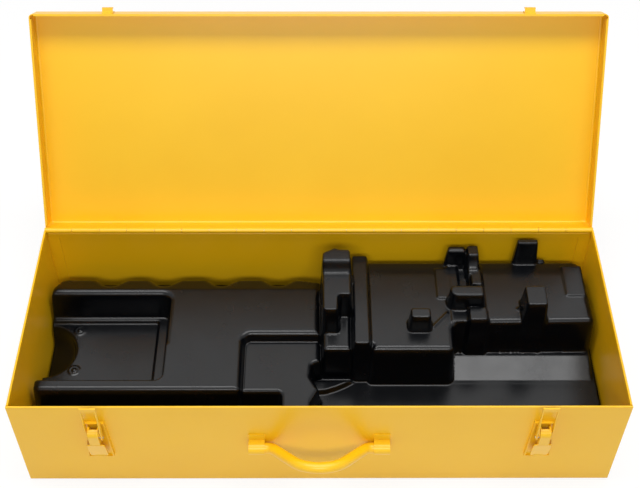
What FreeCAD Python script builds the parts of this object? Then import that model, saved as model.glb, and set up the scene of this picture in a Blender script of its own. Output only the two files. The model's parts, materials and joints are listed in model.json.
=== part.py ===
import FreeCAD, Part
import math
import operator
import os
from types import SimpleNamespace

import Sketcher
from FreeCAD import Placement, Rotation, Vector

# Frame: +X right, +Y to the rear, +Z up, origin at the middle of the case's underside.
# Millimetres. The lid stands open, the levers hang down and the handle stands out.

DIMENSIONS = {
    # Case
    "case_width": 600.0,
    "case_depth": 234.0,
    "case_height": 133.0,
    "sheet_gauge": 1.0,
    "bend_radius": 2.5,
    "hem_thick": 2.2,
    "hem_height": 6.5,
    "hem_fold": 1.0,
    "hem_corner_gap": 3.0,
    "rim_corner_gap": 0.5,
    "seam_flange": 14.0,
    # Lid
    "lid_height": 25.0,
    "lid_gap": 0.3,
    "lid_corner": 4.0,
    "lid_bend": 3.0,
    "lid_open": 119.5,
    # Continuous hinge and lid stops
    "barrel_radius": 3.0,
    "barrel_inset": 0.8,
    "barrel_drop": 3.4,
    "leaf_step": 0.7,
    "hinge_pin_radius": 1.5,
    "knuckle_pitch": 30.0,
    "knuckle_gap": 0.4,
    "leaf_gauge": 1.0,
    "leaf_width": 18.0,
    "running_gap": 0.05,
    "stop_spread": 200.0,
    "stop_width": 16.0,
    "stop_gauge": 3.0,
    "stop_foot": 24.0,
    "stop_reach": 13.9,
    "stop_gap": 1.0,
    "stop_knee_out": 6.0,
    "stop_knee_drop": 12.0,
    "stop_face_out": 6.5,
    "stop_face_drop": 6.4,
    "stop_nose_high": 10.6,
    "stop_nose_low": 14.5,
    # Bow handle and its clips
    "handle_height": 71.0,
    "handle_stand_off": 6.3,
    "handle_rod_radius": 5.5,
    "handle_drop": 40.0,
    "handle_flat": 32.0,
    "handle_span": 95.0,
    "handle_bend": 10.0,
    "handle_shoulder": 32.0,
    "handle_raised": 120.0,
    "clip_inner": 54.0,
    "clip_width": 16.0,
    "clip_gauge": 1.2,
    "clip_flange": 9.0,
    # Draw latches
    "latch_spread": 219.0,
    "latch_base_low": 50.0,
    "latch_base_high": 110.0,
    "latch_base_wide": 26.0,
    "latch_base_narrow": 20.0,
    "latch_base_rim": 3.2,
    "latch_gauge": 1.2,
    "pivot_height": 101.0,
    "pivot_stand_off": 8.0,
    "pivot_pin_radius": 1.5,
    "ear_inner": 5.25,
    "ear_gauge": 1.0,
    "ear_radius": 4.0,
    "knuckle_radius": 6.2,
    "neck_half": 5.0,
    "neck_inner": 3.9,
    "paddle_width": 17.5,
    "paddle_corner": 4.0,
    "paddle_round": 3.0,
    "paddle_lean": 0.4,
    "lever_length": 42.5,
    "lever_shoulder": 15.3,
    "lever_knee": 17.85,
    "lever_tip": 1.0,
    "lever_tip_rise": 0.3,
    "neck_front": 4.3,
    "neck_back": 2.8,
    "hook_pin_drop": 8.0,
    "hook_pin_radius": 1.25,
    "hook_pin_half": 8.4,
    "loop_half": 7.9,
    "loop_inner": 6.5,
    "loop_gauge": 1.5,
    "loop_eye": 2.75,
    "loop_arm": 2.5,
    "loop_waist": 21.0,
    "loop_slim": 33.6,
    "loop_reach": 46.6,
    "loop_bar": 5.0,
    "loop_tilt": 1.5,
    "rivet_radius": 2.0,
    "rivet_head_radius": 3.5,
    "rivet_head_height": 1.6,
    "rivet_dome": 1.1,
    "rivet_tail_radius": 3.15,
    "rivet_tail_height": 1.1,
    "rivet_low": 58.0,
    "rivet_high": 88.0,
    # Keepers on the lid
    "keeper_width": 11.0,
    "keeper_reach": 6.0,
    "keeper_leg": 5.6,
    "keeper_lip": 5.3,
    "keeper_plate": 14.0,
    "keeper_foot": 1.5,
    # Vacuum-formed tray
    "tray_wall": 2.2,
    "tray_draft": 0.06,
    "post_draft": 0.16,
    "tray_bottom": 2.0,
    "tray_base": 41.0,
    "tray_half_width": 294.0,
    "tray_half_depth": 112.0,
    "plate_height": 82.0,
    "plate_left": 290.0,
    "plate_right": 2.0,
    "plate_front": -61.0,
    "plate_back": 94.0,
    "slope_front": 70.0,
    "slope_drop": 10.0,
    "scallop_pitch": 60.5,
    "scallop_first": -222.0,
    "scallop_radius": 22.0,
    "scallop_depth": 7.0,
    "pocket_right": 166.0,
    "pocket_front": -51.0,
    "pocket_back": 62.0,
    "pocket_ledge": 46.0,
    "pocket_floor": 42.0,
    "ledge_left": 10.0,
    "ledge_right": 11.0,
    "ledge_front": 27.0,
    "ledge_back": 9.0,
    "notch_y": 16.0,
    "notch_radius": 32.0,
    "notch_floor": 20.0,
    "boss_x": -264.0,
    "boss_front": -11.0,
    "boss_back": 43.0,
    "boss_radius": 6.0,
    "boss_height": 2.0,
    "panel_height": 71.0,
    "panel_left": -78.0,
    "panel_back": 7.0,
    "panel_front": -59.0,
    "tongue_left": -40.0,
    "tongue_right": -8.0,
    "tongue_front": -95.0,
    "tower_left": 3.0,
    "tower_right": 33.0,
    "tower_top": 142.0,
    "tower_back": 77.0,
    "tower_brow": 58.0,
    "tower_step": 128.0,
    "tower_front": 3.0,
    "tower_foot": 90.0,
    "tower_toe": -20.0,
    "seat_left": 21.0,
    "seat_back": 23.0,
    "seat_height": 96.0,
    "rib_left": 36.5,
    "rib_right": 51.5,
    "rib_front": -22.0,
    "rib_back": 102.0,
    "rib_height": 105.0,
    "deck_height": 98.0,
    "deck_left": 54.5,
    "deck_right": 289.0,
    "deck_back": 101.0,
    "deck_front": 9.0,
    "deck_near": -25.0,
    "deck_step": 141.0,
    "ramp_left": 148.0,
    "ramp_right": 287.0,
    "ramp_top": 50.0,
    "ramp_run": 37.0,
    "post_low": 121.0,
    "post_high": 126.5,
    "post_width": 19.0,
    "post_near_x": 96.0,
    "post_near_y": 2.0,
    "post_near_depth": 9.5,
    "post_far_x": 219.0,
    "post_rear_y": 97.5,
    "post_rear_depth": 5.5,
    "post_right_y": 12.5,
    "post_right_depth": 21.5,
    "cradle_left": 144.0,
    "cradle_right": 176.0,
    "cradle_front": 94.0,
    "cradle_back": 102.0,
    "cradle_height": 118.0,
    "buffer_left": 141.0,
    "buffer_right": 172.0,
    "buffer_front": 30.0,
    "buffer_back": 40.0,
    "block_left": 160.0,
    "block_right": 176.0,
    "block_front": 10.0,
    "block_back": 24.0,
    "block_height": 107.0,
    "step_front": 58.0,
    "step_back": 72.0,
    "step_height": 104.0,
}

doc = FreeCAD.newDocument("SteelToolCase")
sheet = doc.addObject("Spreadsheet::Sheet", "Dimensions")
for row, (alias, number) in enumerate(DIMENSIONS.items(), start=1):
    sheet.set(f"A{row}", alias)
    sheet.set(f"B{row}", str(number))
    sheet.setAlias(f"B{row}", alias)
doc.recompute()

OPERATIONS = {"+": operator.add, "-": operator.sub, "*": operator.mul, "/": operator.truediv}


class Size:
    """A length and the spreadsheet formula that gives it."""

    def __init__(self, value, formula):
        self.value = value
        self.formula = formula

    def __add__(self, other):
        return combine(self, "+", other)

    def __radd__(self, other):
        return combine(other, "+", self)

    def __sub__(self, other):
        return combine(self, "-", other)

    def __rsub__(self, other):
        return combine(other, "-", self)

    def __mul__(self, other):
        return combine(self, "*", other)

    def __rmul__(self, other):
        return combine(other, "*", self)

    def __truediv__(self, other):
        return combine(self, "/", other)

    def __neg__(self):
        return combine(0, "-", self)


def as_size(number):
    return number if isinstance(number, Size) else Size(float(number), repr(float(number)))


def combine(left, sign, right):
    left = as_size(left)
    right = as_size(right)
    value = OPERATIONS[sign](left.value, right.value)
    return Size(value, f"({left.formula} {sign} {right.formula})")


d = SimpleNamespace(**{n: Size(v, f"Dimensions.{n}") for n, v in DIMENSIONS.items()})

FRONT = -d.case_depth / 2
REAR = d.case_depth / 2
SIDE = d.case_width / 2
RIM = d.case_height + d.lid_gap
HINGE_Y = REAR - d.barrel_inset
HINGE_Z = d.case_height - d.barrel_drop
LEAF_EDGE = d.barrel_radius + d.leaf_step
REAR_TOP = HINGE_Z - LEAF_EDGE
PIVOT_Y = FRONT - d.pivot_stand_off
HOOK_Z = d.pivot_height - d.hook_pin_drop
HANDLE_Y = FRONT - d.handle_stand_off

nodes = []


# Helpers for bound objects


def bind(thing, prop, amount):
    thing.setExpression(prop, as_size(amount).formula)


def bind_place(thing, point):
    for key, amount in zip("xyz", point):
        bind(thing, f"Placement.Base.{key}", amount)


def box(name, low, high):
    """A block between two opposite corners."""
    thing = doc.addObject("Part::Box", name)
    for prop, near, far in zip(("Length", "Width", "Height"), low, high):
        bind(thing, prop, far - near)
    bind_place(thing, low)
    return thing


def rod(name, start, radius, length, axis):
    """A round bar from start along the axis X, Y or Z."""
    thing = doc.addObject("Part::Cylinder", name)
    turn = {
        "X": Rotation(Vector(0, 1, 0), 90),
        "Y": Rotation(Vector(1, 0, 0), -90),
        "Z": Rotation(),
    }[axis]
    thing.Placement = Placement(Vector(), turn)
    bind(thing, "Radius", radius)
    bind(thing, "Height", length)
    bind_place(thing, start)
    return thing


def cross_rod(name, half, y, z, radius):
    """A round bar along X, as long on both sides of the middle."""
    return rod(name, (-half, y, z), radius, half * 2, "X")


def frustum(name, low, high, lean):
    """A block given at its top, whose four sides spread by lean per unit of height."""
    thing = doc.addObject("Part::Wedge", name)
    thing.Placement = Placement(Vector(), Rotation(Vector(1, 0, 0), 90))
    spread = (high[2] - low[2]) * lean
    bind(thing, "Ymin", low[2])
    bind(thing, "Ymax", high[2])
    bind(thing, "Xmin", low[0] - spread)
    bind(thing, "Xmax", high[0] + spread)
    bind(thing, "Zmin", -high[1] - spread)
    bind(thing, "Zmax", -low[1] + spread)
    bind(thing, "X2min", low[0])
    bind(thing, "X2max", high[0])
    bind(thing, "Z2min", -high[1])
    bind(thing, "Z2max", -low[1])
    return thing


def fuse(name, things):
    joined = doc.addObject("Part::MultiFuse", name)
    joined.Shapes = things
    joined.Refine = True
    return joined


def cut(name, base, tools):
    result = doc.addObject("Part::Cut", name)
    result.Base = base
    result.Tool = tools[0] if len(tools) == 1 else fuse(name + "Tools", tools)
    result.Refine = True
    return result


def rounded(name, base, radius, wanted):
    """The base with every edge that wanted() accepts rounded."""
    doc.recompute()
    result = doc.addObject("Part::Fillet", name)
    result.Base = base
    picked = [i for i, e in enumerate(base.Shape.Edges, start=1) if wanted(e)]
    result.Edges = [(i, radius.value, radius.value) for i in picked]
    return result


def plane_of(body, role):
    return next(f for f in body.Origin.OriginFeatures if f.Role == role)


def profile(body, role, name, corners):
    """A closed straight-sided sketch whose corners are bound one by one."""
    sketch = body.newObject("Sketcher::SketchObject", name)
    sketch.AttachmentSupport = (plane_of(body, role), [""])
    sketch.MapMode = "FlatFace"
    points = [Vector(as_size(u).value, as_size(v).value, 0) for u, v in corners]
    for here, there in zip(points, points[1:] + points[:1]):
        sketch.addGeometry(Part.LineSegment(here, there))
    count = len(points)
    for i in range(count):
        sketch.addConstraint(Sketcher.Constraint("Coincident", i, 2, (i + 1) % count, 1))
    for i, corner in enumerate(corners):
        for kind, amount in zip(("DistanceX", "DistanceY"), corner):
            amount = as_size(amount)
            place = Sketcher.Constraint(kind, -1, 1, i, 1, amount.value)
            index = sketch.addConstraint(place)
            sketch.setExpression(f"Constraints[{index}]", amount.formula)
    return sketch


def pad(body, sketch, length, middle=False):
    feature = body.newObject("PartDesign::Pad", sketch.Name + "Pad")
    feature.Profile = sketch
    feature.Midplane = middle
    bind(feature, "Length", length)
    return feature


def bar(name, corners, width):
    """A profile in the YZ plane, drawn out along X on both sides of the middle."""
    body = doc.addObject("PartDesign::Body", name)
    pad(body, profile(body, "YZ_Plane", name + "Profile", corners), width, True)
    return body


def keep(node, thing, place=Placement()):
    """Name a finished sub-part and note where it stands."""
    thing.Label = node
    nodes.append((thing, place))


def turned(degrees, y, z, x=0.0):
    """A turn about an axis along X through y and z, then a shift along X."""
    turn = Placement(Vector(), Rotation(Vector(1, 0, 0), degrees), Vector(0, y.value, z.value))
    return Placement(Vector(x, 0, 0), Rotation()).multiply(turn)


def level(edge, z, gap=0.01):
    return all(abs(v.Z - z.value) < gap for v in edge.Vertexes)


def mirrored(side, name):
    return f"{name}_{'left' if side < 0 else 'right'}"


SIDES = (-1, 1)
SCALLOPS = 4
OPEN_LID = turned(-d.lid_open.value, HINGE_Y, HINGE_Z)


# Case: one bent sheet for front, bottom and rear, and two end walls


def body_wrap():
    gauge = d.sheet_gauge
    fold = d.hem_thick / 2
    front_top = d.case_height
    channel = bar(
        "WrapChannel",
        [
            (FRONT, front_top - fold),
            (FRONT, 0),
            (REAR, 0),
            (REAR, REAR_TOP - fold),
            (REAR - gauge, REAR_TOP - fold),
            (REAR - gauge, gauge),
            (FRONT + gauge, gauge),
            (FRONT + gauge, front_top - fold),
        ],
        d.case_width,
    )

    def lower_bend(edge):
        long = edge.Length > d.case_width.value - 1
        return long and edge.BoundBox.ZMax < d.sheet_gauge.value / 2

    bent = rounded("WrapBent", channel, d.bend_radius, lower_bend)

    def hem(name, half, y_low, top):
        near = (-half, y_low, top - d.hem_height)
        return box(name, near, (half, y_low + d.hem_thick, top))

    hems = fuse(
        "WrapHems",
        [
            hem("WrapHemFront", SIDE, FRONT, front_top),
            hem("WrapHemRear", SIDE - d.hem_corner_gap, REAR - d.hem_thick, REAR_TOP),
        ],
    )

    def top_edge(edge):
        long = edge.Length > d.case_width.value / 2
        return long and (level(edge, front_top) or level(edge, REAR_TOP))

    folded = rounded("WrapHemFold", hems, d.hem_fold, top_edge)
    holes = [
        rod(f"WrapHole{n}", (side * d.latch_spread, FRONT - gauge, z), d.rivet_radius, gauge * 3, "Y")
        for n, (side, z) in enumerate((s, h) for s in SIDES for h in (d.rivet_low, d.rivet_high))
    ]
    keep("body_wrap", cut("BodyWrap", fuse("WrapWhole", [bent, folded]), holes))


def end_panel(side):
    name = mirrored(side, "EndPanel")
    gauge = d.sheet_gauge
    out = side * SIDE
    inner = side * (SIDE - gauge)
    tip = side * (SIDE - d.seam_flange)
    near = FRONT + gauge
    far = REAR - gauge
    low = d.case_height - d.hem_height
    hem_near = FRONT + d.hem_thick + d.rim_corner_gap
    hem_far = far - d.hem_corner_gap

    def slab(part, x_a, x_b, y_low, y_high, z_low, z_high):
        left, right = (x_a, x_b) if x_a.value < x_b.value else (x_b, x_a)
        return box(name + part, (left, y_low, z_low), (right, y_high, z_high))

    plate = slab("Plate", inner, out, near, far, gauge, low)
    flanges = [
        slab("FlangeFront", tip, out, near, near + gauge, gauge, low),
        slab("FlangeRear", tip, out, far - gauge, far, gauge, REAR_TOP - d.hem_height),
        slab("FlangeFloor", tip, out, near, far, gauge, gauge * 2),
    ]
    hem = slab("Hem", side * (SIDE - d.hem_thick), out, hem_near, hem_far, low, d.case_height)

    def top_edge(edge):
        return level(edge, d.case_height) and edge.Length > d.case_depth.value / 2

    folded = rounded(name + "HemFold", hem, d.hem_fold, top_edge)
    keep(mirrored(side, "end_panel"), fuse(name, [plate, folded] + flanges))


# Lid: a shallow pressed tray with hemmed rims, drawn shut and then swung open


def lid_shell():
    gauge = d.sheet_gauge
    top = RIM + d.lid_height

    def upright(edge):
        a, b = edge.Vertexes[0], edge.Vertexes[-1]
        return abs(a.X - b.X) < 0.01 and abs(a.Y - b.Y) < 0.01

    def pressed(name, inset, ceiling):
        block = box(name, (-SIDE + inset, FRONT + inset, RIM), (SIDE - inset, REAR - inset, ceiling))
        corners = rounded(name + "Corners", block, d.lid_corner - inset, upright)
        return rounded(name + "Bends", corners, d.lid_bend - inset, lambda e: level(e, ceiling))

    tray = cut("LidTray", pressed("LidOuter", as_size(0), top), [pressed("LidInner", gauge, top - gauge)])
    high = RIM + d.hem_height
    inner = d.hem_thick
    x_end = SIDE - d.hem_corner_gap - inner
    y_end = REAR - d.hem_corner_gap - inner
    lap = gauge / 2
    hems = [
        box("LidHemFront", (-x_end, FRONT + lap, RIM), (x_end, FRONT + inner, high)),
        box("LidHemRear", (-x_end, REAR - inner, RIM), (x_end, REAR - lap, high)),
        box("LidHemLeft", (-SIDE + lap, -y_end, RIM), (-SIDE + inner, y_end, high)),
        box("LidHemRight", (SIDE - inner, -y_end, RIM), (SIDE - lap, y_end, high)),
    ]
    keep("lid_shell", fuse("LidShell", [tray] + hems), OPEN_LID)


# Continuous hinge: knuckles of the two leaves take turns along one pin


def hinge_leaf(name, first, up):
    """One leaf: a plate, every second knuckle from first, and the bore for the pin."""
    count = int(d.case_width.value / d.knuckle_pitch.value)
    sign = 1 if up else -1

    def strip(part, x_low, x_high, z_a, z_b):
        z_low, z_high = (z_a, z_b) if up else (z_b, z_a)
        near = (x_low, REAR, HINGE_Z + sign * z_low)
        far = (x_high, REAR + d.leaf_gauge, HINGE_Z + sign * z_high)
        return box(name + part, near, far)

    pieces = [strip("Plate", -SIDE + d.knuckle_gap, SIDE - d.knuckle_gap, LEAF_EDGE, d.leaf_width)]
    length = d.knuckle_pitch - d.knuckle_gap
    for i in range(first, count, 2):
        start = -SIDE + d.knuckle_pitch * i + d.knuckle_gap / 2
        pieces.append(rod(f"{name}Knuckle{i}", (start, HINGE_Y, HINGE_Z), d.barrel_radius, length, "X"))
        pieces.append(strip(f"Web{i}", start, start + length, as_size(0), LEAF_EDGE))
    return fuse(name + "Rolled", pieces)


def hinge():
    case_leaf = hinge_leaf("CaseLeaf", 0, False)
    lid_leaf = hinge_leaf("LidLeaf", 1, True)
    tight = cross_rod("CaseLeafBore", SIDE, HINGE_Y, HINGE_Z, d.hinge_pin_radius)
    loose = cross_rod("LidLeafBore", SIDE, HINGE_Y, HINGE_Z, d.hinge_pin_radius + d.running_gap)
    pin = cross_rod("HingePin", SIDE - d.knuckle_gap, HINGE_Y, HINGE_Z, d.hinge_pin_radius)
    keep("hinge_body_leaf", cut("HingeBodyLeaf", case_leaf, [tight]))
    keep("hinge_lid_leaf", cut("HingeLidLeaf", lid_leaf, [loose]), OPEN_LID)
    keep("hinge_pin", pin)


def lid_stop(side):
    """A bracket on the rear wall whose slanted top the open lid's hinge leaf leans on."""
    name = mirrored(side, "LidStop")
    foot_top = HINGE_Z - d.leaf_width - d.stop_gap
    foot_low = foot_top - d.stop_foot
    foot = box(
        name + "Foot",
        (-d.stop_width / 2, REAR, foot_low),
        (d.stop_width / 2, REAR + d.stop_gauge / 2, foot_top),
    )
    nose_y = REAR + d.stop_reach
    gusset = bar(
        name + "Gusset",
        [
            (REAR, foot_low),
            (REAR, foot_top),
            (REAR + d.leaf_gauge * 2, foot_top),
            (REAR + d.stop_knee_out, HINGE_Z - d.stop_knee_drop),
            (REAR + d.stop_face_out, HINGE_Z - d.stop_face_drop),
            (nose_y, HINGE_Z - d.stop_nose_high),
            (nose_y, HINGE_Z - d.stop_nose_low),
            (REAR + d.stop_gauge, foot_low),
        ],
        d.stop_gauge,
    )
    at_side = turned(0, REAR, RIM, side * d.stop_spread.value)
    keep(mirrored(side, "lid_stop"), fuse(name, [foot, gusset]), at_side)


# Bow handle: a bent rod held by two straps, drawn hanging and then raised


def handle_clip(side):
    name = mirrored(side, "HandleClip")
    left = side * (d.clip_inner + d.clip_width / 2) - d.clip_width / 2
    right = left + d.clip_width
    bore = d.handle_rod_radius + d.running_gap
    outer = bore + d.clip_gauge
    flange = outer + d.clip_flange
    z = d.handle_height
    strap = [
        rod(name + "Bow", (left, HANDLE_Y, z), outer, d.clip_width, "X"),
        box(name + "Legs", (left, HANDLE_Y, z - outer), (right, FRONT, z + outer)),
        box(name + "Flange", (left, FRONT - d.clip_gauge, z - flange), (right, FRONT, z + flange)),
    ]
    room = [
        rod(name + "Bore", (left, HANDLE_Y, z), bore, d.clip_width, "X"),
        box(name + "Gap", (left, HANDLE_Y, z - bore), (right, FRONT + d.clip_gauge, z + bore)),
    ]
    keep(mirrored(side, "handle_clip"), cut(name, fuse(name + "Strap", strap), room))


def handle_bow():
    """A rod swept along straight runs and tangent bends in the plane of the bow."""
    body = doc.addObject("PartDesign::Body", "HandleBow")
    end = (d.clip_inner + d.clip_width).value
    knee = d.handle_span.value / 2
    flat = d.handle_flat.value / 2
    drop = d.handle_drop.value
    corners = [(-end, 0), (-knee, 0), (-flat, -drop), (flat, -drop), (knee, 0), (end, 0)]
    points = [Vector(u, v, 0) for u, v in corners]
    radii = [d.handle_bend, d.handle_shoulder, d.handle_shoulder, d.handle_bend]
    spine = body.newObject("Sketcher::SketchObject", "HandleSpine")
    spine.AttachmentSupport = (plane_of(body, "XZ_Plane"), [""])
    spine.MapMode = "FlatFace"
    start = points[0]
    for before, corner, after, radius in zip(points, points[1:], points[2:], radii):
        back = (before - corner).normalize()
        ahead = (after - corner).normalize()
        half = (back.getAngle(ahead)) / 2
        reach = radius.value / math.tan(half)
        entry = corner + back * reach
        leave = corner + ahead * reach
        centre_way = (back + ahead).normalize()
        middle = corner + centre_way * (radius.value / math.sin(half) - radius.value)
        spine.addGeometry(Part.LineSegment(start, entry))
        spine.addGeometry(Part.Arc(entry, middle, leave))
        start = leave
    spine.addGeometry(Part.LineSegment(start, points[-1]))
    section = body.newObject("Sketcher::SketchObject", "HandleSection")
    section.AttachmentSupport = (plane_of(body, "YZ_Plane"), [""])
    section.MapMode = "FlatFace"
    section.AttachmentOffset = Placement(Vector(0, 0, -end), Rotation())
    section.addGeometry(Part.Circle(Vector(), Vector(0, 0, 1), d.handle_rod_radius.value))
    section.addConstraint(Sketcher.Constraint("Coincident", 0, 3, -1, 1))
    index = section.addConstraint(Sketcher.Constraint("Radius", 0, d.handle_rod_radius.value))
    section.setExpression(f"Constraints[{index}]", d.handle_rod_radius.formula)
    doc.recompute()
    pipe = body.newObject("PartDesign::AdditivePipe", "HandleRod")
    pipe.Profile = section
    pipe.Spine = (spine, [f"Edge{n + 1}" for n in range(len(spine.Shape.Edges))])
    doc.recompute()
    raised = Placement(
        Vector(0, HANDLE_Y.value, d.handle_height.value),
        Rotation(Vector(1, 0, 0), -d.handle_raised.value),
    )
    keep("handle_bow", body, raised)


# Draw latches: base with two ears, lever on a pivot pin, loop on a second pin


def latch_base(side):
    name = mirrored(side, "LatchBase")
    gauge = d.latch_gauge

    def outline(inset):
        low = d.latch_base_low + inset
        high = d.latch_base_high - inset
        wide = d.latch_base_wide / 2 - inset
        narrow = d.latch_base_narrow / 2 - inset
        return [(-wide, low), (wide, low), (narrow, high), (-narrow, high)]

    def plate(part, corners, depth):
        body = doc.addObject("PartDesign::Body", name + part)
        pad(body, profile(body, "XZ_Plane", name + part + "Outline", corners), depth)
        return body

    dish = plate("Dish", outline(0), d.latch_base_rim)
    hollow = plate("Hollow", outline(gauge), d.latch_base_rim)
    dish.Placement = Placement(Vector(0, FRONT.value, 0), Rotation())
    hollow.Placement = Placement(Vector(0, FRONT.value - gauge.value, 0), Rotation())
    pressed = cut(name + "Pressed", dish, [hollow])
    ears = []
    for flank in SIDES:
        near = flank * d.ear_inner
        far = flank * (d.ear_inner + d.ear_gauge)
        left = near if flank > 0 else far
        right = left + d.ear_gauge
        tag = mirrored(flank, name + "Ear")
        low = d.pivot_height - d.ear_radius
        high = d.pivot_height + d.ear_radius
        ears.append(box(tag, (left, PIVOT_Y, low), (right, FRONT - gauge / 2, high)))
        ears.append(rod(tag + "End", (left, PIVOT_Y, d.pivot_height), d.ear_radius, d.ear_gauge, "X"))
    holes = [cross_rod(name + "PinHole", d.loop_half, PIVOT_Y, d.pivot_height, d.pivot_pin_radius)]
    for z in (d.rivet_low, d.rivet_high):
        tag = f"{name}Hole{int(z.value)}"
        holes.append(rod(tag, (0, FRONT - gauge * 2, z), d.rivet_radius, gauge * 3, "Y"))
    base = cut(name, fuse(name + "Whole", [pressed] + ears), holes)
    at_side = turned(0, FRONT, RIM, side * d.latch_spread.value)
    keep(mirrored(side, "latch_base"), base, at_side)
    pin_half = d.ear_inner + d.ear_gauge + d.running_gap
    pin = cross_rod(mirrored(side, "LatchPivot"), pin_half, PIVOT_Y, d.pivot_height, d.pivot_pin_radius)
    keep(mirrored(side, "latch_pivot"), pin, at_side)


def latch_lever(side):
    """A channel-shaped neck round the pivot that opens into a flat thumb paddle."""
    name = mirrored(side, "LatchLever")
    gauge = d.latch_gauge
    radius = d.knuckle_radius
    length = d.lever_length
    shoulder = d.lever_shoulder
    knee = d.lever_knee
    front_knee = -d.neck_front
    tip = d.lever_tip

    def neck(part, inset, half, back):
        shape = bar(
            name + part + "Side",
            [
                (-radius + inset, 0),
                (front_knee + inset, -knee),
                (back, -knee),
                (back, 0),
            ],
            half * 2,
        )
        return [shape, cross_rod(name + part + "Round", half, 0, 0, radius - inset)]

    solid = fuse(name + "Neck", neck("Outer", as_size(0), d.neck_half, d.neck_back))
    channel = neck("Inner", gauge, d.neck_inner, radius * 2)
    behind = box(name + "Behind", (-d.neck_inner, 0, -length), (d.neck_inner, radius * 2, radius * 2))
    hollow = cut(name + "Channel", solid, channel + [behind])
    paddle = bar(
        name + "Paddle",
        [
            (front_knee - d.paddle_lean, -shoulder),
            (front_knee, -knee),
            (tip, -length),
            (tip + gauge, d.lever_tip_rise - length),
            (front_knee + gauge, -knee),
            (front_knee + gauge - d.paddle_lean, -shoulder),
        ],
        d.paddle_width,
    )

    def paddle_corner(edge):
        across = abs(edge.BoundBox.XMin) > d.paddle_width.value / 2 - 0.01
        short = edge.Length < d.latch_gauge.value * 1.3
        return across and short and edge.BoundBox.XLength < 0.01

    soft = rounded(name + "Corners", paddle, d.paddle_round, paddle_corner)
    lip = cross_rod(name + "Lip", d.paddle_width / 2 - d.paddle_corner, tip + gauge / 2, -length, gauge)
    holes = [
        cross_rod(name + "PivotHole", d.loop_half, 0, 0, d.pivot_pin_radius + d.running_gap),
        cross_rod(name + "HookHole", d.loop_half, 0, -d.hook_pin_drop, d.hook_pin_radius + d.running_gap),
    ]
    lever = cut(name, fuse(name + "Whole", [hollow, soft, lip]), holes)
    place = Vector(side * d.latch_spread.value, PIVOT_Y.value, d.pivot_height.value)
    keep(mirrored(side, "latch_lever"), lever, Placement(place, Rotation()))


def hook_loop(side):
    """A flat bail: two side arms with eyes, joined by the bar that catches the keeper."""
    name = mirrored(side, "HookLoop")
    deep = d.loop_arm
    thin = d.loop_gauge / 2
    end = d.loop_reach + d.loop_bar
    waist = d.loop_waist
    slim = d.loop_slim
    arms = bar(
        name + "Arms",
        [
            (-deep, 0),
            (deep, 0),
            (deep, waist),
            (thin, slim),
            (thin, end),
            (-thin, end),
            (-thin, slim),
            (-deep, waist),
        ],
        d.loop_half * 2,
    )
    eyes = cross_rod(name + "Eyes", d.loop_half, 0, 0, d.loop_eye)
    window = box(name + "Window", (-d.loop_inner, -end, -end), (d.loop_inner, end, d.loop_reach))
    hole = cross_rod(name + "Hole", d.hook_pin_half, 0, 0, d.hook_pin_radius + d.running_gap)
    loop = cut(name, fuse(name + "Whole", [arms, eyes]), [window, hole])
    place = Vector(side * d.latch_spread.value, PIVOT_Y.value, HOOK_Z.value)
    tilted = Rotation(Vector(1, 0, 0), d.loop_tilt.value)
    keep(mirrored(side, "hook_loop"), loop, Placement(place, tilted))
    pin = cross_rod(mirrored(side, "HookPin"), d.hook_pin_half, 0, 0, d.hook_pin_radius)
    keep(mirrored(side, "hook_pin"), pin, Placement(place, Rotation()))


def latch_rivets():
    """Two rivets through each latch base and the front wall."""
    rivets = []
    for side in SIDES:
        for height, z in enumerate((d.rivet_low, d.rivet_high)):
            name = mirrored(side, f"Rivet{height}")
            x = side * d.latch_spread
            face = FRONT - d.latch_gauge
            inside = FRONT + d.sheet_gauge
            tall = d.rivet_head_height
            shank = rod(name + "Shank", (x, face, z), d.rivet_radius, inside - face, "Y")
            head = rod(name + "Head", (x, face - tall, z), d.rivet_head_radius, tall, "Y")
            tail = rod(name + "Tail", (x, inside, z), d.rivet_tail_radius, d.rivet_tail_height, "Y")
            domed = rounded(
                name + "Dome",
                head,
                d.rivet_dome,
                lambda e, low=(face - tall).value: abs(e.BoundBox.YMax - low) < 0.01,
            )
            rivets.append(fuse(name, [shank, domed, tail]))
    group = doc.addObject("Part::Compound", "LatchRivets")
    group.Links = rivets
    keep("latch_rivets", group)


def keeper(side):
    """A bent tab on the lid's front rim with an upturned lip, drawn with the lid shut."""
    name = mirrored(side, "Keeper")
    gauge = d.latch_gauge
    foot = RIM + d.keeper_foot
    leg = d.case_height + d.keeper_leg - gauge / 2
    out = FRONT - d.keeper_reach
    tab = bar(
        name,
        [
            (FRONT, foot),
            (FRONT, foot + d.keeper_plate),
            (FRONT - gauge, foot + d.keeper_plate),
            (FRONT - gauge, leg + gauge),
            (out + gauge, leg + gauge),
            (out + gauge, leg + d.keeper_lip),
            (out, leg + d.keeper_lip),
            (out, leg),
            (FRONT - gauge, leg),
            (FRONT - gauge, foot),
        ],
        d.keeper_width,
    )
    swung = turned(-d.lid_open.value, HINGE_Y, HINGE_Z, side * d.latch_spread.value)
    keep(mirrored(side, "keeper"), tab, swung)


# Vacuum-formed tray: raised blocks with drafted sides, hollow from below


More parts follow.
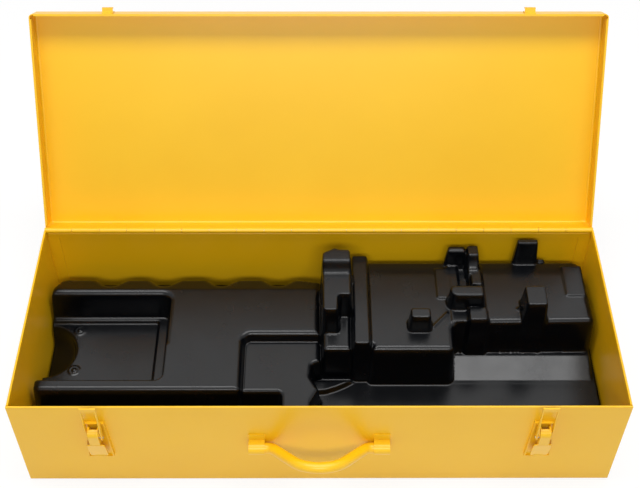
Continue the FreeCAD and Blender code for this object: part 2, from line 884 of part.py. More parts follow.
def tray_blocks():
    """Top outline and height of each raised block, with the lean of its sides."""
    draft = d.tray_draft
    steep = d.post_draft
    floor = d.tray_base - d.tray_wall
    on_deck = d.deck_height - d.tray_wall

    def block(left, right, front, back, top):
        return (left, front, floor), (right, back, top), draft

    def post(left, right, front, back, top):
        return (left, front, on_deck), (right, back, top), steep

    def slim_post(x, y, depth, top):
        return post(x, x + d.post_width, y, y + depth, top)

    tower = (d.tower_left, d.tower_right)
    seat = (d.seat_left, d.tower_right)
    return {
        "Plate": block(-d.plate_left, d.panel_left, d.plate_front, d.plate_back, d.plate_height),
        "PlateRear": block(d.panel_left, d.plate_right, d.panel_back, d.plate_back, d.plate_height),
        "Panel": block(d.panel_left, as_size(0), d.panel_front, d.panel_back, d.panel_height),
        "Tongue": block(d.tongue_left, d.tongue_right, d.tongue_front, d.panel_front, d.panel_height),
        "TowerTop": block(*tower, d.tower_brow, d.tower_back, d.tower_top),
        "TowerStep": block(*tower, d.seat_back, d.tower_brow, d.tower_step),
        "TowerArm": block(d.tower_left, d.seat_left, d.tower_front, d.seat_back, d.tower_step),
        "TowerSeat": block(*seat, d.tower_front, d.seat_back, d.seat_height),
        "TowerFoot": block(*tower, d.tower_toe, d.tower_front, d.tower_foot),
        "Rib": block(d.rib_left, d.rib_right, d.rib_front, d.rib_back, d.rib_height),
        "Deck": block(d.deck_left, d.deck_right, d.deck_front, d.deck_back, d.deck_height),
        "DeckNear": block(d.deck_left, d.deck_step, d.deck_near, d.deck_front, d.deck_height),
        "PostNear": slim_post(d.post_near_x, d.post_near_y, d.post_near_depth, d.post_low),
        "PostRear": slim_post(d.post_far_x, d.post_rear_y, d.post_rear_depth, d.post_high),
        "PostRight": slim_post(d.post_far_x, d.post_right_y, d.post_right_depth, d.post_high),
        "Cradle": post(d.cradle_left, d.cradle_right, d.cradle_front, d.cradle_back, d.cradle_height),
        "Buffer": post(d.buffer_left, d.buffer_right, d.buffer_front, d.buffer_back, d.post_low),
        "Block": post(d.block_left, d.block_right, d.block_front, d.block_back, d.block_height),
        "Step": post(d.block_left, d.block_right, d.step_front, d.step_back, d.step_height),
    }


def tray_frustums(name, wall):
    """All blocks, drawn in by the wall thickness on the sides and from the top."""
    wide = d.tray_half_width - wall
    long = d.tray_half_depth - wall
    low = d.tray_bottom if wall.value == 0 else as_size(0)
    pieces = [frustum(name + "Base", (-wide, -long, low), (wide, long, d.tray_base - wall), as_size(0))]
    for key, (near, far, lean) in tray_blocks().items():
        inner_near = (near[0] + wall, near[1] + wall, near[2] - wall)
        inner_far = (far[0] - wall, far[1] - wall, far[2] - wall)
        pieces.append(frustum(name + key, inner_near, inner_far, lean))
    return pieces


def tray_recesses(name, wall):
    """What is sunk into the plate: pocket, thumb notch, sloped rear edge and its scallops."""
    left = -d.tray_half_width
    right = -d.pocket_right
    front = d.pocket_front
    back = d.pocket_back
    above = d.plate_height + d.slope_drop
    base = d.tray_base - wall
    notch = d.notch_floor - wall
    pieces = [
        box(
            name + "Pocket",
            (left - wall, front - wall, d.pocket_ledge - wall),
            (right + wall, back + wall, above),
        ),
        box(
            name + "PocketFloor",
            (left + d.ledge_left - wall, front + d.ledge_front - wall, d.pocket_floor - wall),
            (right - d.ledge_right + wall, back - d.ledge_back + wall, above),
        ),
        rod(name + "Notch", (left, d.notch_y, notch), d.notch_radius + wall, above - notch, "Z"),
    ]
    run = d.plate_back - d.slope_front
    slope = frustum(
        name + "Slope",
        (-d.case_width / 2, d.slope_front - run, d.plate_height - d.slope_drop - wall),
        (d.plate_right, d.tray_half_depth, above - wall),
        as_size(0),
    )
    bind(slope, "Zmax", -d.plate_back)
    pieces.append(slope)
    for n in range(SCALLOPS):
        x = d.scallop_first + d.scallop_pitch * n
        y = d.plate_back + d.scallop_radius - d.scallop_depth
        hollow = (x, y, base)
        pieces.append(rod(f"{name}Scallop{n}", hollow, d.scallop_radius + wall, above - base, "Z"))
    return pieces


def insert_tray():
    thick = d.tray_wall
    none = as_size(0)
    outside = fuse("TrayOutside", tray_frustums("TrayOuter", none))
    ramp = frustum(
        "TrayRamp",
        (d.ramp_left, d.deck_front - thick, d.tray_base - thick),
        (d.ramp_right, d.deck_front + d.ramp_run, d.ramp_top),
        none,
    )
    bind(ramp, "Zmax", d.ramp_run - d.deck_front)
    formed = cut("TrayFormed", fuse("TrayRamped", [outside, ramp]), tray_recesses("TrayCut", none))
    boss_low = d.pocket_floor - thick / 2
    boss_tall = d.boss_height + thick / 2
    bosses = [
        rod(name, (d.boss_x, y, boss_low), d.boss_radius, boss_tall, "Z")
        for name, y in (("TrayBossFront", d.boss_front), ("TrayBossBack", d.boss_back))
    ]
    skin = fuse("TraySkin", [formed] + bosses)
    void = fuse("TrayVoid", tray_frustums("TrayInner", thick))
    inside = cut("TrayInside", void, tray_recesses("TrayKeep", thick))
    keep("insert_tray", cut("InsertTray", skin, [inside]))


body_wrap()
lid_shell()
hinge()
handle_bow()
latch_rivets()
insert_tray()
for side in SIDES:
    end_panel(side)
    lid_stop(side)
    handle_clip(side)
    latch_base(side)
    latch_lever(side)
    hook_loop(side)
    keeper(side)
doc.recompute()

# Nothing is written until every object is sound

failed = [o.Name for o in doc.Objects if "Invalid" in o.State or "Error" in o.State]
if failed:
    raise RuntimeError(f"these objects failed: {failed}")
for thing, place in nodes:
    thing.Placement = place.multiply(thing.Placement)
    shape = thing.Shape
    if shape.isNull() or not shape.isValid() or not shape.Solids:
        raise RuntimeError(f"{thing.Label} is not a sound solid")
    print(f"{thing.Label}: {len(shape.Solids)} solid, {shape.Volume / 1000:.2f} cm3")

os.makedirs("parts", exist_ok=True)
for thing, place in nodes:
    thing.Shape.exportStep(f"parts/{thing.Label}.step")
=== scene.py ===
import json
import math

import bpy
import numpy as np
from mathutils import Matrix, Vector


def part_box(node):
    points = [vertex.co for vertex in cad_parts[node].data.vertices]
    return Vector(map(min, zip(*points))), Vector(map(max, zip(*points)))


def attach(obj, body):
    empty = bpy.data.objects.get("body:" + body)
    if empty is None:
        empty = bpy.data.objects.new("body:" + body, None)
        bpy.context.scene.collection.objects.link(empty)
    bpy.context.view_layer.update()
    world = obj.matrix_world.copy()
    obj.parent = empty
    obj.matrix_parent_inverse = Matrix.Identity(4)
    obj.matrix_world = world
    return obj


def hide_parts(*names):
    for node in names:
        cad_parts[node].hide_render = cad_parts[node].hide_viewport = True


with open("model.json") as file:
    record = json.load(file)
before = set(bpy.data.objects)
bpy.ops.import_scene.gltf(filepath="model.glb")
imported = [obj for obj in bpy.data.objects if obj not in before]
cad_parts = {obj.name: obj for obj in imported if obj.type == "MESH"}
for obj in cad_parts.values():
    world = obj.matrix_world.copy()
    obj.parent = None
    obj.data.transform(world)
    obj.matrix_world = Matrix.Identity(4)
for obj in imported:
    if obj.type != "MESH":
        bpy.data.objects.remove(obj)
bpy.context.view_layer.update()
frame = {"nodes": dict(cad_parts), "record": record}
nodes = frame["nodes"]
scene = bpy.context.scene
MM = 0.001


# Materials: every surface is painted by nodes, in object coordinates that are metres


NOISE_LOW = 0.3
NOISE_HIGH = 0.7


class Shader:
    """A Principled material and short ways to add nodes to it."""

    def __init__(self, name):
        self.material = bpy.data.materials.new(name)
        self.material.use_nodes = True
        self.tree = self.material.node_tree
        self.main = self.tree.nodes["Principled BSDF"]
        self.place = self.add("ShaderNodeTexCoord").outputs["Object"]

    def add(self, kind):
        return self.tree.nodes.new(kind)

    def link(self, source, target):
        self.tree.links.new(source, target)

    def drive(self, socket, source):
        self.link(source, self.main.inputs[socket])

    def set(self, socket, amount):
        self.main.inputs[socket].default_value = amount

    def noise(self, scale, detail, place=None):
        node = self.add("ShaderNodeTexNoise")
        node.inputs["Scale"].default_value = scale
        node.inputs["Detail"].default_value = detail
        self.link(self.place if place is None else place, node.inputs["Vector"])
        return node.outputs["Fac"]

    def span(self, source, low, high):
        """A number that runs from low to high over the middle of a noise."""
        node = self.add("ShaderNodeMapRange")
        node.inputs["From Min"].default_value = NOISE_LOW
        node.inputs["From Max"].default_value = NOISE_HIGH
        node.inputs["To Min"].default_value = low
        node.inputs["To Max"].default_value = high
        self.link(source, node.inputs["Value"])
        return node.outputs["Result"]

    def ramp(self, source, low, high):
        """A colour that runs from low to high over the middle of a noise."""
        node = self.add("ShaderNodeValToRGB")
        stops = ((NOISE_LOW, low), (NOISE_HIGH, high))
        for mark, (position, colour) in zip(node.color_ramp.elements, stops):
            mark.position = position
            mark.color = (*colour, 1.0)
        self.link(source, node.inputs["Fac"])
        return node.outputs["Color"]

    def bump(self, *layers):
        """Chain bump nodes, each given as height, strength and distance in metres."""
        normal = None
        for height, strength, distance in layers:
            node = self.add("ShaderNodeBump")
            node.inputs["Strength"].default_value = strength
            node.inputs["Distance"].default_value = distance
            self.link(height, node.inputs["Height"])
            if normal is not None:
                self.link(normal, node.inputs["Normal"])
            normal = node.outputs["Normal"]
        self.drive("Normal", normal)


def yellow_paint():
    """Satin powder coat: faint tone drift and fine orange peel."""
    paint = Shader("yellow_paint")
    deep = (0.87, 0.490, 0.003)
    light = (0.90, 0.520, 0.006)
    drift = paint.noise(scale=9.0, detail=3.0)
    paint.drive("Base Color", paint.ramp(drift, deep, light))
    satin = paint.noise(scale=60.0, detail=3.0)
    paint.drive("Roughness", paint.span(satin, low=0.34, high=0.38))
    peel = paint.noise(scale=900.0, detail=2.0)
    peel_depth = 0.0004
    speck = paint.noise(scale=2600.0, detail=1.0)
    speck_depth = 0.0002
    paint.bump((peel, 0.05, peel_depth), (speck, 0.03, speck_depth))
    return paint.material


def black_plastic():
    """Vacuum-formed sheet: fine grain over an even, soft gloss."""
    plastic = Shader("black_plastic")
    dark = (0.0006, 0.0009, 0.0016)
    pale = (0.0010, 0.0014, 0.0024)
    drift = plastic.noise(scale=14.0, detail=3.0)
    plastic.drive("Base Color", plastic.ramp(drift, dark, pale))
    smear = plastic.noise(scale=35.0, detail=4.0)
    plastic.drive("Roughness", plastic.span(smear, low=0.22, high=0.28))
    plastic.set("Specular IOR Level", 0.30)
    grain = plastic.noise(scale=2200.0, detail=3.0)
    grain_depth = 0.0003
    sheet_wave = plastic.noise(scale=45.0, detail=2.0)
    wave_depth = 0.001
    plastic.bump((grain, 0.12, grain_depth), (sheet_wave, 0.04, wave_depth))
    return plastic.material


def plain_steel():
    """Drawn wire: bright steel with fine lines along the length of the pins."""
    steel = Shader("steel")
    dull = (0.40, 0.39, 0.37)
    bright = (0.56, 0.55, 0.53)
    along_pin = 40.0
    across_pin = 2500.0
    stretch = steel.add("ShaderNodeMapping")
    stretch.inputs["Scale"].default_value = (along_pin, across_pin, across_pin)
    steel.link(steel.place, stretch.inputs["Vector"])
    drawn = steel.noise(scale=1.0, detail=3.0, place=stretch.outputs["Vector"])
    steel.drive("Base Color", steel.ramp(drawn, dull, bright))
    steel.drive("Roughness", steel.span(drawn, low=0.26, high=0.40))
    steel.set("Metallic", 1.0)
    line_depth = 0.0001
    steel.bump((drawn, 0.05, line_depth))
    return steel.material


FINISH = {"yellow_paint": yellow_paint(), "black_plastic": black_plastic(), "steel": plain_steel()}
for row in frame["record"]["subparts"]:
    mesh = nodes[row["node"]].data
    mesh.materials.clear()
    mesh.materials.append(FINISH[row["material_slot"]])


# Insert: one formed sheet, in millimetres. Each outline is drawn at the top of its block

# The grid, the sheet's thickness, and how it lies against the solid tray
GRID = 0.9
SHEET = 2.0
SET_BACK = 2.2
SPREAD = 2.5
KEPT_FACES = 0.25
SHADING_WEIGHT = 60

# Heights above the ground: left half
FLOOR = 41.0
POCKET = 42.0
LEDGE = 46.0
PANEL = 71.0
PLATE = 82.0
PLATE_REAR = 72.0
SCOOP_LOW = 20.0
SCOOP_HIGH = 33.0

# Heights above the ground: tower and rib
TOWER_FOOT_FRONT = 89.5
TOWER_FOOT_REAR = 93.5
RIB = 105.0
TOWER_ARM = 128.0
TOWER_SHOULDER = 140.0
TOWER = 142.0

# Heights above the ground: right half
RAMP_LOW = FLOOR + 0.2
RAMP_HIGH = 50.0
DECK_REAR = 93.0
DECK = 98.0
NUB_FOOT = 91.0
NUB = 97.0
FIN = 103.0
LOW_STEP = 104.0
LOW_POST = 107.0
SADDLE = 117.0
CRADLE = 119.6
FRONT_POST = 121.0
RIGHT_POST = 126.0
REAR_POST = 127.0

# Small rises and hollows, from the face that they stand on
BUTTON_DISH = 0.3
BUTTON_RIM = 1.0
BUTTON_PEAK = 2.0
LINE_RISE = 1.4
LABEL_RISE = 1.6
PAD_RISE = 1.8
GROOVE_DROP = 3.5

# Walls: lean is the run for each unit of height, crown and fillet are radii
LEAN = 0.06
CROWN = 7.5
FILLET = 3.0
ROUND_EDGE = {"lean": 0.05, "crown": 3.0, "fillet": 1.5}
SMALL_STEP = {"lean": 0.12, "crown": 1.8, "fillet": 1.6}
EMBOSSED = {"lean": 0.3, "crown": 1.0, "fillet": 0.8}
BUTTON = {"lean": 0.3, "crown": 0.8, "fillet": 0.5}

ARC_STEPS = 6
DISC_STEPS = 48
STRAIGHT = math.radians(88)
LEAST_STEP = 0.01
NOWHERE = 1.0e4


def outline(*corners):
    """A closed line through corners given as x, y and, where rounded, a radius."""
    points = [np.array(c[:2], float) for c in corners]
    radii = [c[2] if len(c) > 2 else 0.0 for c in corners]
    line = []
    for i, here in enumerate(points):
        back = points[i - 1] - here
        ahead = points[(i + 1) % len(points)] - here
        back /= np.linalg.norm(back)
        ahead /= np.linalg.norm(ahead)
        half = math.acos(max(-1.0, min(1.0, float(back @ ahead)))) / 2
        if radii[i] == 0.0 or half > STRAIGHT:
            line.append(here)
            continue
        reach = radii[i] / math.tan(half)
        middle = here + (back + ahead) / np.linalg.norm(back + ahead) * radii[i] / math.sin(half)
        first = here + back * reach - middle
        last = here + ahead * reach - middle
        for step in range(ARC_STEPS + 1):
            way = first + (last - first) * step / ARC_STEPS
            line.append(middle + way / np.linalg.norm(way) * radii[i])
    return np.array(line)


def rectangle(left, right, front, back, radius):
    return outline(
        (left, front, radius), (right, front, radius), (right, back, radius), (left, back, radius)
    )


def disc(x, y, radius):
    turns = np.linspace(0.0, 2 * math.pi, DISC_STEPS, endpoint=False)
    return np.column_stack((x + radius * np.cos(turns), y + radius * np.sin(turns)))


def arc(radius, offset):
    """Height of a round of this radius, at an offset from its middle."""
    return np.sqrt(np.maximum(radius**2 - offset**2, 0.0))


def top_at(top, px, py):
    return top(px, py) if callable(top) else np.full(px.shape, float(top))


class Sheet:
    """Heights on a grid over the insert, built up block by block."""

    def __init__(self, low, high):
        counts = [int(round((b - a) / GRID)) + 1 for a, b in zip(low, high)]
        self.x = np.linspace(low[0], high[0], counts[0])
        self.y = np.linspace(low[1], high[1], counts[1])
        self.height = np.full((counts[1], counts[0]), FLOOR)

    def window(self, line, margin):
        low = line.min(axis=0) - margin
        high = line.max(axis=0) + margin
        across = slice(*np.searchsorted(self.x, (low[0], high[0])))
        along = slice(*np.searchsorted(self.y, (low[1], high[1])))
        return along, across

    def inside(self, line, part):
        """Distance to the line for the grid points in part, positive within it."""
        px, py = np.meshgrid(self.x[part[1]], self.y[part[0]])
        nearest = np.full(px.shape, np.inf)
        within = np.zeros(px.shape, bool)
        for (ax, ay), (bx, by) in zip(line, np.roll(line, -1, axis=0)):
            ex, ey = bx - ax, by - ay
            share = ((px - ax) * ex + (py - ay) * ey) / (ex * ex + ey * ey)
            share = np.clip(share, 0.0, 1.0)
            gap = np.hypot(px - ax - share * ex, py - ay - share * ey)
            nearest = np.minimum(nearest, gap)
            if ay != by:
                crosses = (ay > py) != (by > py)
                within ^= crosses & (px < ax + (py - ay) * ex / ey)
        return np.where(within, nearest, -nearest), px, py

    def block(self, line, top, foot=FLOOR, lean=LEAN, crown=CROWN, fillet=FILLET):
        """Raise a block: round crown, leaning wall and a fillet at its foot."""
        tallest = TOWER - foot
        part = self.window(line, fillet + tallest * lean + crown)
        deep, px, py = self.inside(line, part)
        peak = top_at(top, px, py)
        tall = np.maximum(peak - foot, LEAST_STEP)
        bend = np.minimum(crown, tall / 2)
        toe = np.minimum(fillet, tall / 2)
        rise = np.clip(deep, 0.0, bend)
        cap = peak - bend + arc(bend, bend - rise)
        wall = peak - bend + deep / lean
        start = (foot + toe - peak + bend) * lean
        out = start - deep
        foot_arc = foot + toe - arc(toe, toe - np.clip(out, 0.0, toe))
        shape = np.where(deep >= 0.0, cap, np.where(out < 0.0, wall, foot_arc))
        shape = np.where(out > toe, -NOWHERE, shape)
        self.height[part] = np.maximum(self.height[part], shape)

    def recess(self, line, floor, rim, lean=LEAN, crown=CROWN, fillet=FILLET):
        """Sink a hollow: round rim, leaning wall and a fillet round its floor."""
        part = self.window(line, crown + GRID)
        deep, px, py = self.inside(line, part)
        base = top_at(floor, px, py)
        tall = np.maximum(rim - base, LEAST_STEP)
        bend = np.minimum(crown, tall / 2)
        toe = np.minimum(fillet, tall / 2)
        fall = np.clip(deep + bend, 0.0, bend)
        lip = rim - bend + arc(bend, fall)
        wall = rim - bend - deep / lean
        start = (rim - bend - base - toe) * lean
        inward = np.clip(deep - start, 0.0, toe)
        bottom = base + toe - arc(toe, toe - inward)
        shape = np.where(deep <= 0.0, lip, np.where(deep < start, wall, bottom))
        shape = np.where(deep < -bend, NOWHERE, shape)
        self.height[part] = np.minimum(self.height[part], shape)

    def soften(self):
        """Blend each height with its neighbours, along y and then along x."""
        for axis in (0, 1):
            first = self.height.take([0], axis)
            last = self.height.take([-1], axis)
            grown = np.concatenate((first, self.height, last), axis)
            size = self.height.shape[axis]
            before = grown.take(range(size), axis)
            after = grown.take(range(2, size + 2), axis)
            self.height = (before + 2 * self.height + after) / 4

    def underside(self, lowest):
        """The sheet's lower face: the upper one drawn in by the thickness."""
        reach = int(math.ceil(SHEET / GRID))
        rows, columns = self.height.shape
        grown = np.pad(self.height, reach, constant_values=lowest)
        lower = self.height - SHEET
        for dy in range(-reach, reach + 1):
            for dx in range(-reach, reach + 1):
                apart = (dx * dx + dy * dy) * GRID * GRID
                if apart > SHEET * SHEET:
                    continue
                near = grown[reach + dy:reach + dy + rows, reach + dx:reach + dx + columns]
                lower = np.minimum(lower, near - math.sqrt(SHEET * SHEET - apart))
        return np.maximum(lower, lowest)

    def mesh(self, name, lowest):
        rows, columns = self.height.shape
        px, py = np.meshgrid(self.x, self.y + SET_BACK)
        faces_z = (self.height, self.underside(lowest))
        layers = [np.stack((px, py, z), axis=-1).reshape(-1, 3) for z in faces_z]
        index = np.arange(rows * columns).reshape(rows, columns)
        a, b = index[:-1, :-1].ravel(), index[:-1, 1:].ravel()
        c, e = index[1:, 1:].ravel(), index[1:, :-1].ravel()
        below = rows * columns
        faces = [np.column_stack((a, b, c, e)), np.column_stack((e, c, b, a)) + below]
        rim = np.concatenate((index[0, :], index[1:, -1], index[-1, -2::-1], index[-2:0:-1, 0]))
        following = np.roll(rim, -1)
        faces.append(np.column_stack((rim, rim + below, following + below, following)))
        mesh = bpy.data.meshes.new(name)
        mesh.from_pydata((np.concatenate(layers) * MM).tolist(), [], np.concatenate(faces).tolist())
        mesh.polygons.foreach_set("use_smooth", np.ones(len(mesh.polygons), bool))
        mesh.update()
        return mesh


def falls(start, end, high, low, axis=1):
    """A height that runs from high at start to low at end, along y or along x."""
    def height(*place):
        return high + (low - high) * np.clip((place[axis] - start) / (end - start), 0.0, 1.0)
    return height


def droops(start, end, high, low):
    """As falls, but level at start and steeper towards end."""
    def height(px, py):
        return high + (low - high) * np.clip((py - start) / (end - start), 0.0, 1.0) ** 2
    return height


WAVES = (-45.0, -108.0, -172.0, -231.5)
WAVE_TOP = 94.0
WAVE_LOW = 80.5
WAVE_HALF = 17.5
WAVE_FLAT = 4.0
WAVE_SHOULDER = 8
WAVE_HOLLOW = 10


def wavy_rear():
    """The plate's rear edge from right to left, with a shallow hollow at each wave."""
    edge = [(2, 87.4), (-16, 92.5, 6)]
    for x in WAVES:
        edge += [(x + WAVE_HALF, WAVE_TOP, WAVE_SHOULDER), (x + WAVE_FLAT, WAVE_LOW, WAVE_HOLLOW)]
        edge += [(x - WAVE_FLAT, WAVE_LOW, WAVE_HOLLOW), (x - WAVE_HALF, WAVE_TOP, WAVE_SHOULDER)]
    return edge


BUTTONS = ((-265, 42.8), (-264, -10.7))
BEYOND_EDGE = 30.0


def form_plate(sheet):
    """Left half: the plate with its wavy rear edge, the open pocket and the thumb scoop."""
    beyond = sheet.x[0] - BEYOND_EDGE
    front_edge = [(-294.5, -65, 8), (-80, -65, 5), (-80, 7, 8), (2, 7, 2)]
    left_edge = [(-281, 94.6, 6), (-289, 91, 6), (-294.5, 76, 6)]
    plate = outline(*front_edge, *wavy_rear(), *left_edge)
    sheet.block(plate, falls(70, WAVE_TOP, PLATE, PLATE_REAR))
    panel = outline(
        (-82, 9), (-82, -59.5), (-40, -59.5, 4), (-40, -95, 3), (-8, -95, 3), (-7.6, -70, 6),
        (-1.5, -58.7, 4), (0.2, -54, 3), (-8.2, -37.5, 6), (-6.5, -23.5, 4), (2, -20, 3), (2, 9),
    )
    sheet.block(panel, PANEL, crown=6.0)
    pocket = outline((beyond, -50), (-162.5, -50, 8), (-162.5, 62.5, 8), (beyond, 62.5))
    sheet.recess(pocket, LEDGE, PLATE, lean=0.11, crown=2.2)
    rear_rim = outline((beyond, 0), (-164, 0), (-164, 62.5, 8), (beyond, 62.5))
    sheet.recess(rear_rim, LEDGE, PLATE, lean=0.11, crown=8.0)
    low_floor = rectangle(beyond, -177.8, -48, 53.8, 2.5)
    sheet.recess(low_floor, POCKET, LEDGE, lean=0.2, crown=1.0, fillet=1.2)
    scoop = disc(-300, 15, 34)
    scoop_floor = falls(-296, -266, SCOOP_LOW, SCOOP_HIGH, axis=0)
    for rim in (POCKET, LEDGE):
        sheet.recess(scoop, scoop_floor, rim, lean=0.3, crown=2.5, fillet=6.0)
    for x, y in BUTTONS:
        rim = POCKET + BUTTON_RIM
        dish = POCKET + BUTTON_DISH
        sheet.block(disc(x, y, 6.0), rim, POCKET, **BUTTON)
        sheet.recess(disc(x, y, 4.2), dish, rim, lean=0.3, crown=0.4, fillet=0.4)
        sheet.block(disc(x, y, 2.4), POCKET + BUTTON_PEAK, dish, **BUTTON)


def form_tower(sheet):
    """Middle: the stepped tower, its seat and the rib beside it."""
    top = outline(
        (2.6, 58.3, 2), (34.2, 58.3, 2), (34.2, 67.4, 2), (33.4, 76, 3), (20.7, 76.7, 3), (17, 79, 3),
        (2.6, 71, 5),
    )
    sheet.block(top, TOWER, lean=0.02, crown=3.0)
    arm = outline((3.2, 3.2, 4), (20, 3.2, 3), (20.8, 24, 3), (34.2, 24, 2), (34.2, 62), (3, 62))
    sheet.block(arm, TOWER_ARM, lean=0.02, crown=3.2)
    shoulder = rectangle(3.2, 34, 50, 66, 2)
    sheet.block(shoulder, droops(52, 58.5, TOWER_ARM, TOWER_SHOULDER), lean=0.02, crown=3.0)
    foot = rectangle(3.2, 35, -19.5, 30, 4)
    sheet.block(foot, falls(-19, 22, TOWER_FOOT_FRONT, TOWER_FOOT_REAR), lean=0.02, crown=6.5)
    low_step = outline((-6, -26), (36, -26), (28, -31, 5), (19, -35.5, 6), (7, -40, 6), (-6, -41, 3))
    sheet.block(low_step, LEDGE, lean=0.5, crown=2.5, fillet=3.0)
    rib = rectangle(35.4, 53.6, -22.6, 100, 3)
    sheet.block(rib, RIB, lean=0.015, crown=3.2)


DECK_MARGIN = 4.0


def form_deck(sheet):
    """Right half: the deck, its front ramp and what stands on it."""
    edge = sheet.x[-1] - DECK_MARGIN
    ramp = outline((143, -27), (edge, -27, 4), (edge, 14), (143, 14))
    sheet.block(ramp, falls(-24, 3, RAMP_LOW, RAMP_HIGH), lean=0.3, crown=0.5)
    deck = outline(
        (54.6, -25.4, 3), (141, -25.4, 6), (142, 9.5, 8), (edge, 11.5, 6), (edge - 1, 58),
        (edge - 3, 101.5, 12), (48, 101.5), (48, -19), (54.6, -19),
    )
    sheet.block(deck, droops(74, 102, DECK, DECK_REAR), lean=0.05)
    form_reliefs(sheet)
    form_cradle(sheet)
    form_posts(sheet)


def form_reliefs(sheet):
    """Low pads on the deck, and the groove sunk in one of them."""
    sheet.block(rectangle(127, 143, 42.7, 85.5, 2), DECK + PAD_RISE, DECK, **EMBOSSED)
    sheet.block(rectangle(140, 178, 11, 91, 1.5), DECK + LINE_RISE, DECK, **EMBOSSED)
    sheet.block(rectangle(266, 288, 46, 89, 2), DECK + LABEL_RISE, DECK, **EMBOSSED)
    groove = rectangle(151.5, 162, 58.5, 88, 1.5)
    sheet.recess(groove, DECK - GROOVE_DROP, DECK + LINE_RISE, lean=0.1, crown=0.8, fillet=1.0)


def form_cradle(sheet):
    """The forms round the groove: a cradle behind, steps beside it and a buffer in front."""
    cradle = outline((138.6, 91.2, 3), (160.4, 91.2, 1.5), (160.4, 101.4, 1.5), (140.6, 101.4, 3))
    sheet.block(cradle, CRADLE, DECK, lean=0.06, crown=4.5, fillet=1.5)
    cheek = rectangle(161.4, 174.6, 85.8, 101.4, 2)
    sheet.block(cheek, CRADLE, DECK, lean=0.03, crown=2.0, fillet=1.5)
    saddle = rectangle(162, 174.6, 72, 92, 1.5)
    sheet.block(saddle, droops(75.5, 86.3, LOW_STEP, SADDLE), DECK, **ROUND_EDGE)
    sheet.block(rectangle(164.8, 177, 57.6, 80, 2), LOW_STEP, DECK, **SMALL_STEP)
    buffer = outline((138.4, 28.2, 8), (174.6, 28.2, 3), (174.6, 43.8, 2.5), (138.4, 43.8, 5))
    sheet.block(buffer, FRONT_POST, DECK, lean=0.09, crown=3.4, fillet=2.0)
    low_post = rectangle(157.6, 178, 6.9, 26, 2.6)
    sheet.block(low_post, LOW_POST, DECK, lean=0.06, crown=2.8, fillet=1.6)


def form_posts(sheet):
    """The three single posts, and the small web or nub beside each."""
    sheet.block(rectangle(94.8, 116.8, -0.8, 13.4, 3.4), FRONT_POST, DECK, **ROUND_EDGE)
    rear_post = rectangle(215.4, 239.4, 95.6, 104, 2.6)
    sheet.block(rear_post, REAR_POST, DECK, lean=0.03, crown=2.2, fillet=1.5)
    sheet.block(rectangle(216.3, 239, 11.4, 39.6, 3.6), RIGHT_POST, DECK, **ROUND_EDGE)
    nub = outline((236, 97, 1), (250, 98.5, 1), (250, 101, 1), (236, 102, 1))
    sheet.block(nub, NUB, NUB_FOOT, **SMALL_STEP)
    fin = outline((211, 28.5, 0.8), (221, 24, 1), (221, 33, 1))
    sheet.block(fin, FIN, DECK, **EMBOSSED)
    web = outline((118, 4), (120, 2.5), (137.5, 22.5), (136, 24.5))
    sheet.block(web, DECK + LINE_RISE, DECK, **EMBOSSED)


def add_insert():
    low, high = (np.array(corner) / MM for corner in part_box("insert_tray"))
    back = np.array((0.0, SET_BACK))
    side = np.array((SPREAD, 0.0))
    sheet = Sheet(low[:2] - side - back, high[:2] + side - back)
    form_plate(sheet)
    form_tower(sheet)
    form_deck(sheet)
    sheet.height = np.minimum(sheet.height, high[2])
    sheet.soften()
    insert = bpy.data.objects.new("formed_insert", sheet.mesh("formed_insert", low[2]))
    insert.data.materials.append(FINISH["black_plastic"])
    scene.collection.objects.link(insert)
    thin = insert.modifiers.new("fewer_faces", "DECIMATE")
    thin.ratio = KEPT_FACES
    even = insert.modifiers.new("even_shading", "WEIGHTED_NORMAL")
    even.weight = SHADING_WEIGHT
    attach(insert, "case")
    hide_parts("insert_tray")


add_insert()


# Camera: fitted to the corners of the case and the lid in the photograph


CAMERA_AT = Vector((-0.0022, -0.7226, 1.0385))
CAMERA_PITCH = math.radians(47.995)
CAMERA_YAW = math.radians(0.23)
CAMERA_ROLL = math.radians(0.135)
FOCAL_PIXELS = 1129.5
IMAGE_WIDTH = 640
SENSOR_WIDTH = 36.0
CLIP_NEAR = 0.01
CLIP_FAR = 50.0


def add_camera():
    ahead = Vector((
        math.sin(CAMERA_YAW) * math.cos(CAMERA_PITCH),
        math.cos(CAMERA_YAW) * math.cos(CAMERA_PITCH),
        -math.sin(CAMERA_PITCH),
    ))
    flat = Vector((math.cos(CAMERA_YAW), -math.sin(CAMERA_YAW), 0.0))
    right = flat * math.cos(CAMERA_ROLL) + flat.cross(ahead) * math.sin(CAMERA_ROLL)
    up = right.cross(ahead)
    data = bpy.data.cameras.new("camera")
    data.sensor_width = SENSOR_WIDTH
    data.lens = FOCAL_PIXELS * SENSOR_WIDTH / IMAGE_WIDTH
    data.clip_start = CLIP_NEAR
    data.clip_end = CLIP_FAR
    camera = bpy.data.objects.new("camera", data)
    camera.matrix_world = Matrix((right, up, -ahead)).transposed().to_4x4()
    camera.location = CAMERA_AT
    scene.collection.objects.link(camera)
    scene.camera = camera


add_camera()


# Light and ground: soft boxes above, behind and in front, in metres and watts


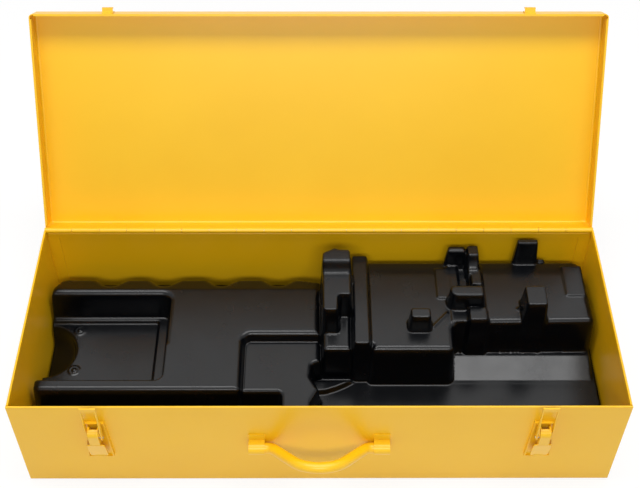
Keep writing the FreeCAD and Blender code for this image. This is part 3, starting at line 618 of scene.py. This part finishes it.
CASE_MIDDLE = Vector((0.0, 0.0, 0.1))
SOFTBOXES = {
    "softbox_above": {"place": (0.0, 0.0, 1.85), "size": (1.9, 0.5), "power": 25.0},
    "softbox_rear": {"place": (0.0, 1.25, 1.75), "size": (2.2, 1.0), "power": 7.0},
    "softbox_front": {"place": (0.0, -1.36, 1.36), "size": (1.0, 0.25), "power": 12.6},
}
WHITE = (1.0, 1.0, 1.0, 1.0)
AMBIENT_STRENGTH = 0.22
SEEN_STRENGTH = 1.0
GROUND_HALF = 6.0
GROUND_DROP = 0.0005
GROUND_COLOUR = (0.86, 0.86, 0.86, 1.0)
GROUND_ROUGHNESS = 0.9
GROUND_GLOW = 1.05
GLOW_SHARE = 0.8


def add_light(name, place, size, power):
    data = bpy.data.lights.new(name, "AREA")
    data.shape = "RECTANGLE"
    data.size, data.size_y = size
    data.energy = power
    lamp = bpy.data.objects.new(name, data)
    lamp.location = place
    lamp.rotation_euler = (CASE_MIDDLE - Vector(place)).to_track_quat("-Z", "Y").to_euler()
    scene.collection.objects.link(lamp)


def light_path(tree):
    """1 where the camera, a reflection or a see-through surface looks, else 0."""
    path = tree.nodes.new("ShaderNodeLightPath")
    total = path.outputs["Is Camera Ray"]
    for name in ("Is Glossy Ray", "Is Transmission Ray"):
        both = tree.nodes.new("ShaderNodeMath")
        both.operation = "MAXIMUM"
        tree.links.new(total, both.inputs[0])
        tree.links.new(path.outputs[name], both.inputs[1])
        total = both.outputs["Value"]
    return total


def set_world():
    world = bpy.data.worlds.new("studio")
    world.use_nodes = True
    tree = world.node_tree
    ambient = tree.nodes["Background"]
    ambient.inputs["Color"].default_value = WHITE
    ambient.inputs["Strength"].default_value = AMBIENT_STRENGTH
    seen = tree.nodes.new("ShaderNodeBackground")
    seen.inputs["Color"].default_value = WHITE
    seen.inputs["Strength"].default_value = SEEN_STRENGTH
    mix = tree.nodes.new("ShaderNodeMixShader")
    tree.links.new(light_path(tree), mix.inputs["Fac"])
    tree.links.new(ambient.outputs["Background"], mix.inputs[1])
    tree.links.new(seen.outputs["Background"], mix.inputs[2])
    tree.links.new(mix.outputs["Shader"], tree.nodes["World Output"].inputs["Surface"])
    scene.world = world


def ground_material():
    """Matt pale grey that glows where it is looked at, and still takes a shadow."""
    material = bpy.data.materials.new("pale_floor")
    material.use_nodes = True
    tree = material.node_tree
    matt = tree.nodes["Principled BSDF"]
    matt.inputs["Base Color"].default_value = GROUND_COLOUR
    matt.inputs["Roughness"].default_value = GROUND_ROUGHNESS
    glow = tree.nodes.new("ShaderNodeEmission")
    glow.inputs["Strength"].default_value = GROUND_GLOW
    share = tree.nodes.new("ShaderNodeMath")
    share.operation = "MULTIPLY"
    share.inputs[1].default_value = GLOW_SHARE
    tree.links.new(light_path(tree), share.inputs[0])
    mix = tree.nodes.new("ShaderNodeMixShader")
    tree.links.new(share.outputs["Value"], mix.inputs["Fac"])
    tree.links.new(matt.outputs["BSDF"], mix.inputs[1])
    tree.links.new(glow.outputs["Emission"], mix.inputs[2])
    tree.links.new(mix.outputs["Shader"], tree.nodes["Material Output"].inputs["Surface"])
    return material


def add_floor():
    signs = ((-1, -1), (1, -1), (1, 1), (-1, 1))
    corners = [(x * GROUND_HALF, y * GROUND_HALF, 0) for x, y in signs]
    mesh = bpy.data.meshes.new("floor")
    mesh.from_pydata(corners, [], [(0, 1, 2, 3)])
    mesh.materials.append(ground_material())
    floor = bpy.data.objects.new("floor", mesh)
    floor.location = (0.0, 0.0, -GROUND_DROP)
    scene.collection.objects.link(floor)


for name, softbox in SOFTBOXES.items():
    add_light(name, **softbox)
set_world()
add_floor()
scene.view_settings.view_transform = "Standard"
